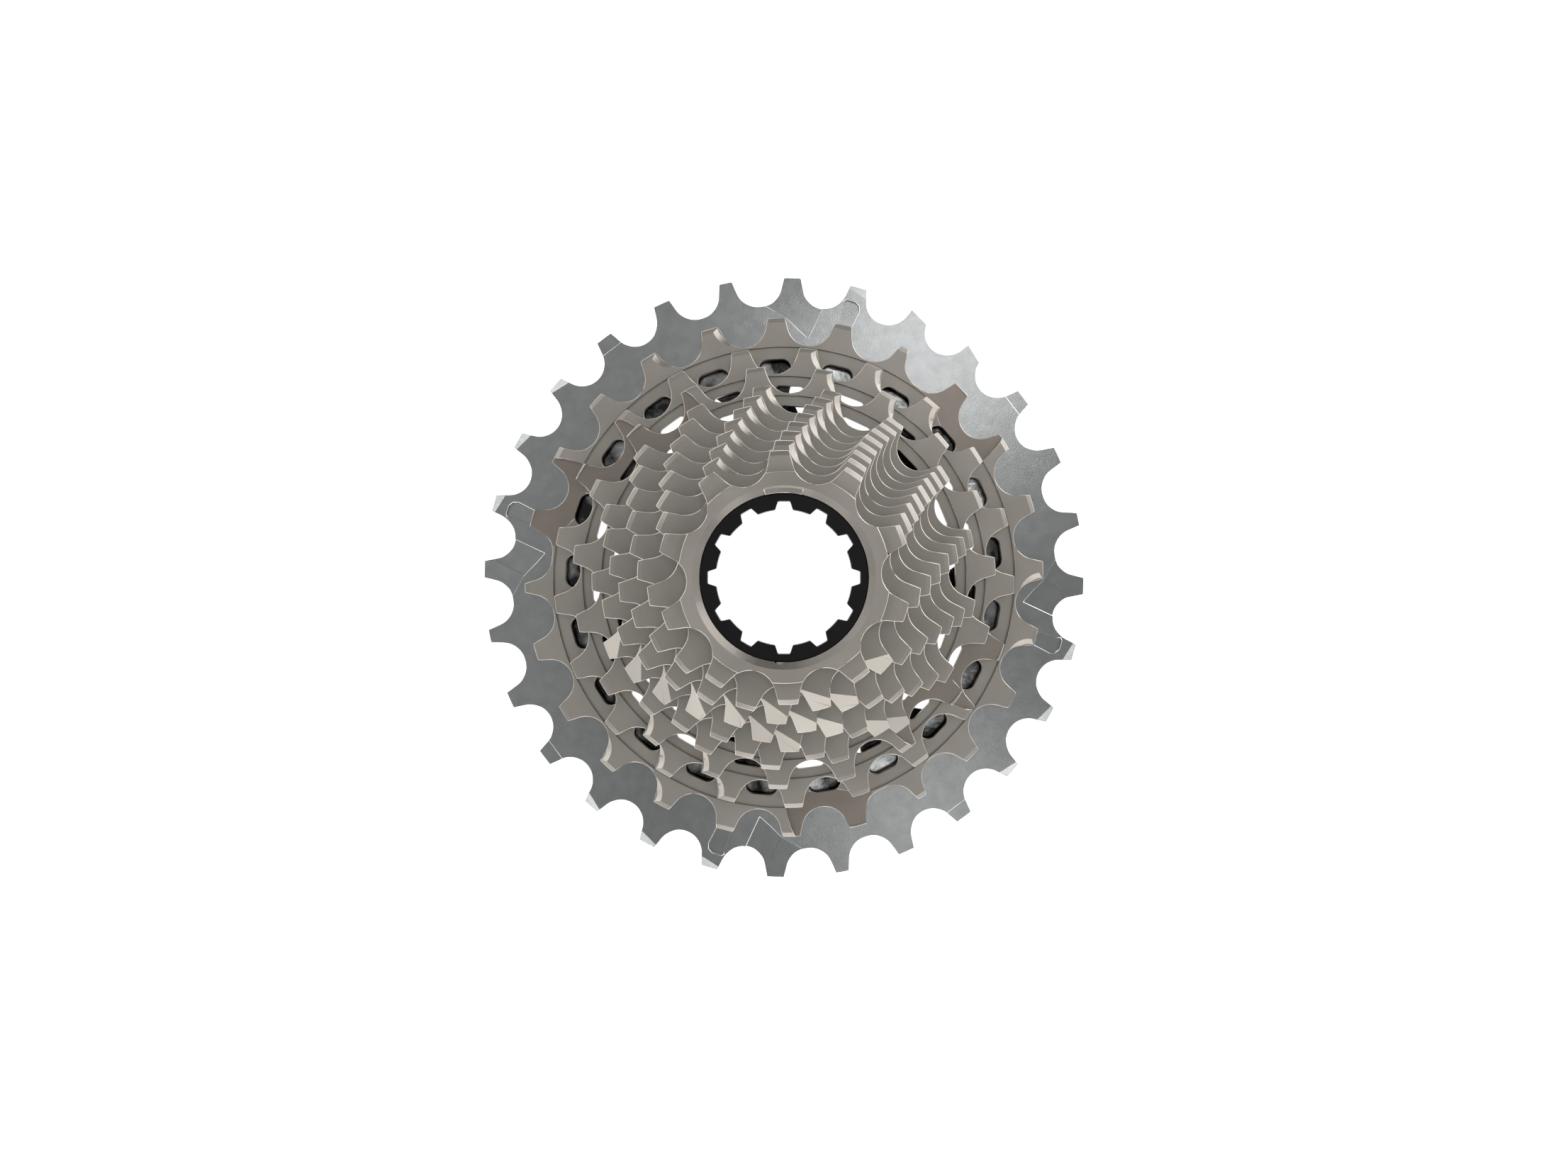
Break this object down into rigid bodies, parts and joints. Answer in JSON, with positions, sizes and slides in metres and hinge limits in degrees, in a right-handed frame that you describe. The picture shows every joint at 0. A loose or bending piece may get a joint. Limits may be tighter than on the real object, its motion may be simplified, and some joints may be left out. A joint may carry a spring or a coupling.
{
  "type": "bicycle cassette",
  "caption": "Dome-shaped bicycle cassette: stepped chain sprockets on a hollow cone, with a splined alloy largest sprocket and a captive, notched lock tube.",
  "frame": {"origin": "centre of the bore on the hub's back face, which is also the bottom centre of the bounding box", "axes": "+Z along the cassette's axis towards the smallest sprocket; +Y and +X are up and right in the front view"},
  "size_m": [0.1166, 0.1166, 0.0442],
  "materials": {
    "satin_steel": "satin, nickel-toned",
    "blasted_alloy": "bead-blasted silver",
    "pin_steel": "ground",
    "black_tube": "black anodised, satin",
    "washer_steel": "ground",
    "seal_rubber": "matte"
  },
  "bodies": {
    "cassette": {"cluster_10t_13t": "satin_steel", "sprocket_14t": "satin_steel", "sprocket_15t": "satin_steel", "sprocket_16t": "satin_steel", "sprocket_17t": "satin_steel", "sprocket_19t": "satin_steel", "sprocket_21t": "satin_steel", "sprocket_24t": "satin_steel", "sprocket_28t": "blasted_alloy", "pins_13t_14t": "pin_steel", "pins_14t_15t": "pin_steel", "pins_15t_16t": "pin_steel", "pins_16t_17t": "pin_steel", "pins_17t_19t": "pin_steel", "pins_19t_21t": "pin_steel", "pins_21t_24t": "pin_steel", "pins_24t_28t": "pin_steel", "thrust_washer": "washer_steel"},
    "lock_tube": {"lock_tube": "black_tube", "seal_ring": "seal_rubber"}
  },
  "joints": [
    {"name": "lock_tube_spin", "type": "hinge", "parent": "cassette", "child": "lock_tube", "pos_m": [0, 0, 0.03], "axis": [0, 0, 1], "continuous": true}
  ]
}
